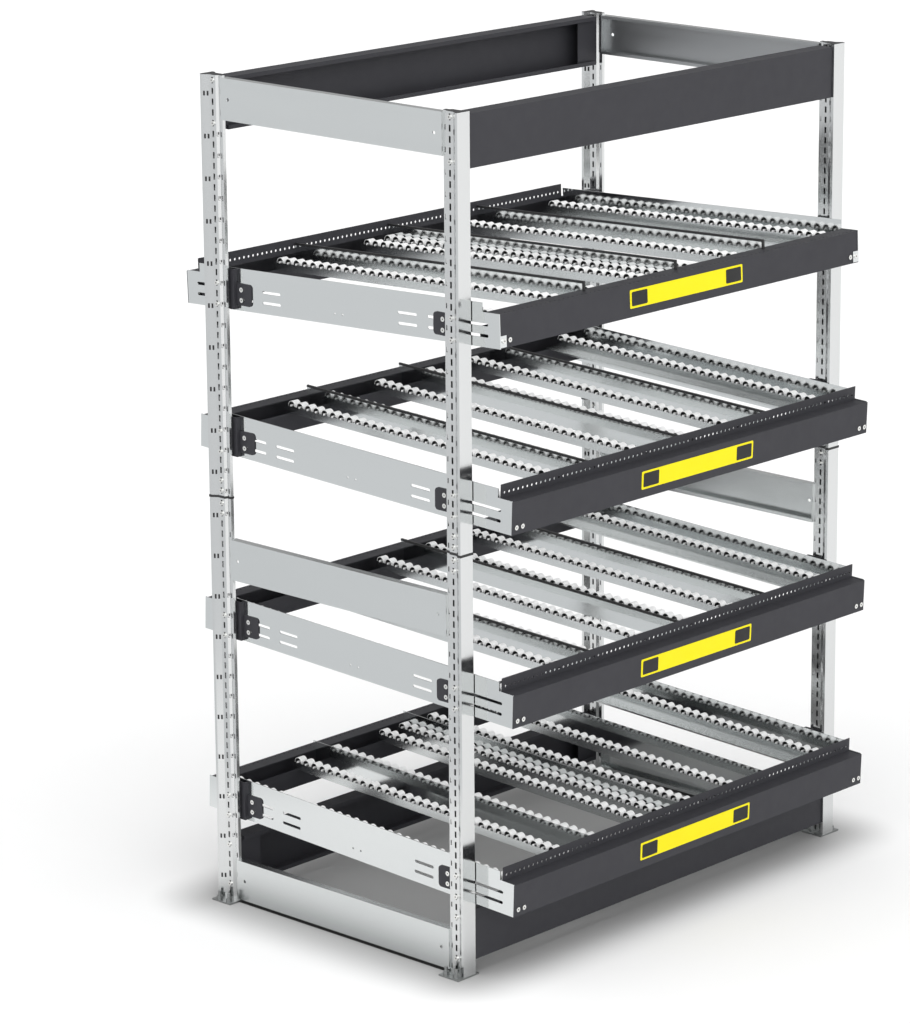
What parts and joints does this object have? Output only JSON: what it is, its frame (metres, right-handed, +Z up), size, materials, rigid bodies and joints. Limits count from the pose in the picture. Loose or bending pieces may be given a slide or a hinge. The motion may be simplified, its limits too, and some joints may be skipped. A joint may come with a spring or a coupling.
{
  "type": "tilting shelf rack",
  "caption": "Free-standing steel flow rack with slotted posts, long and side beams, and tilting levels of roller tracks between side rails, with box stops and lane dividers.",
  "frame": {"origin": "on the floor, below the middle of the frame", "axes": "+X to the right along the front, +Y to the back, +Z up"},
  "size_m": [1.4, 1.0431, 2.0105],
  "materials": {
    "bright_steel": "bright galvanised",
    "galvanised": "galvanised",
    "anthracite": "satin powder coat",
    "zinc": "zinc plated",
    "white_plastic": "satin",
    "black_plastic": "matt"
  },
  "bodies": {
    "frame": {"front_left_post": "bright_steel", "front_right_post": "bright_steel", "rear_left_post": "bright_steel", "rear_right_post": "bright_steel", "post_splices": "black_plastic", "post_caps": "black_plastic", "base_plates": "galvanised", "foot_bolts": "zinc", "top_side_beams": "galvanised", "middle_side_beams": "galvanised", "bottom_side_beams": "galvanised", "top_long_beams": "anthracite", "bottom_long_beams": "anthracite", "frame_screws": "zinc", "rear_brackets": "anthracite", "rear_tilt_screws": "zinc"},
    "shelf_1": {"side_rails_1": "galvanised", "front_member_1": "anthracite", "rear_member_1": "anthracite", "roller_tracks_1": "galvanised", "rollers_1": "white_plastic", "dividers_1": "galvanised", "shelf_screws_1": "zinc", "divider_edges_1": "black_plastic"},
    "front_bracket_pair_1": {"front_brackets_1": "anthracite", "front_tilt_screws_1": "zinc"},
    "roller_row_1": {"spinning_rollers_1": "white_plastic"},
    "shelf_2": {"side_rails_2": "galvanised", "front_member_2": "anthracite", "rear_member_2": "anthracite", "roller_tracks_2": "galvanised", "rollers_2": "white_plastic", "dividers_2": "galvanised", "shelf_screws_2": "zinc", "divider_edges_2": "black_plastic"},
    "front_bracket_pair_2": {"front_brackets_2": "anthracite", "front_tilt_screws_2": "zinc"},
    "roller_row_2": {"spinning_rollers_2": "white_plastic"},
    "shelf_3": {"side_rails_3": "galvanised", "front_member_3": "anthracite", "rear_member_3": "anthracite", "roller_tracks_3": "galvanised", "rollers_3": "white_plastic", "dividers_3": "galvanised", "shelf_screws_3": "zinc", "divider_edges_3": "black_plastic"},
    "front_bracket_pair_3": {"front_brackets_3": "anthracite", "front_tilt_screws_3": "zinc"},
    "roller_row_3": {"spinning_rollers_3": "white_plastic"},
    "shelf_4": {"side_rails_4": "galvanised", "front_member_4": "anthracite", "rear_member_4": "anthracite", "roller_tracks_4": "galvanised", "rollers_4": "white_plastic", "dividers_4": "galvanised", "shelf_screws_4": "zinc"},
    "front_bracket_pair_4": {"front_brackets_4": "anthracite", "front_tilt_screws_4": "zinc"},
    "roller_row_4": {"spinning_rollers_4": "white_plastic"}
  },
  "joints": [
    {"name": "tilt_1", "type": "hinge", "parent": "frame", "child": "shelf_1", "pos_m": [0, 0.323, 1.5078], "axis": [1, 0, 0], "range_deg": [-6.58, 2.22]},
    {"name": "front_height_1", "type": "slide", "parent": "frame", "child": "front_bracket_pair_1", "axis": [0, 0, 1], "range_m": [-0.0255, 0.0755]},
    {"name": "roller_spin_1", "type": "hinge", "parent": "shelf_1", "child": "roller_row_1", "pos_m": [0, -0.41689, 1.55094], "axis": [1, 0, 0], "continuous": true},
    {"name": "tilt_2", "type": "hinge", "parent": "frame", "child": "shelf_2", "pos_m": [0, 0.323, 1.1528], "axis": [1, 0, 0], "range_deg": [-6.64, 2.21]},
    {"name": "front_height_2", "type": "slide", "parent": "frame", "child": "front_bracket_pair_2", "axis": [0, 0, 1], "range_m": [-0.0255, 0.0755]},
    {"name": "roller_spin_2", "type": "hinge", "parent": "shelf_2", "child": "roller_row_2", "pos_m": [0, -0.47496, 1.13643], "axis": [1, 0, 0], "continuous": true},
    {"name": "tilt_3", "type": "hinge", "parent": "frame", "child": "shelf_3", "pos_m": [0, 0.323, 0.7023], "axis": [1, 0, 0], "range_deg": [-2.22, 6.58]},
    {"name": "front_height_3", "type": "slide", "parent": "frame", "child": "front_bracket_pair_3", "axis": [0, 0, 1], "range_m": [-0.0755, 0.0255]},
    {"name": "roller_spin_3", "type": "hinge", "parent": "shelf_3", "child": "roller_row_3", "pos_m": [0, -0.47496, 0.68593], "axis": [1, 0, 0], "continuous": true},
    {"name": "tilt_4", "type": "hinge", "parent": "frame", "child": "shelf_4", "pos_m": [0, 0.323, 0.2523], "axis": [1, 0, 0], "range_deg": [-8.84, 0]},
    {"name": "front_height_4", "type": "slide", "parent": "frame", "child": "front_bracket_pair_4", "axis": [0, 0, 1], "range_m": [0, 0.1005]},
    {"name": "roller_spin_4", "type": "hinge", "parent": "shelf_4", "child": "roller_row_4", "pos_m": [0, -0.47496, 0.23593], "axis": [1, 0, 0], "continuous": true}
  ],
  "couplings": [
    {"joint": "front_height_1", "follows": "tilt_1", "m_per_rad": -0.6512},
    {"joint": "front_height_2", "follows": "tilt_2", "m_per_rad": -0.6472},
    {"joint": "front_height_3", "follows": "tilt_3", "m_per_rad": -0.6512},
    {"joint": "front_height_4", "follows": "tilt_4", "m_per_rad": -0.6483}
  ]
}
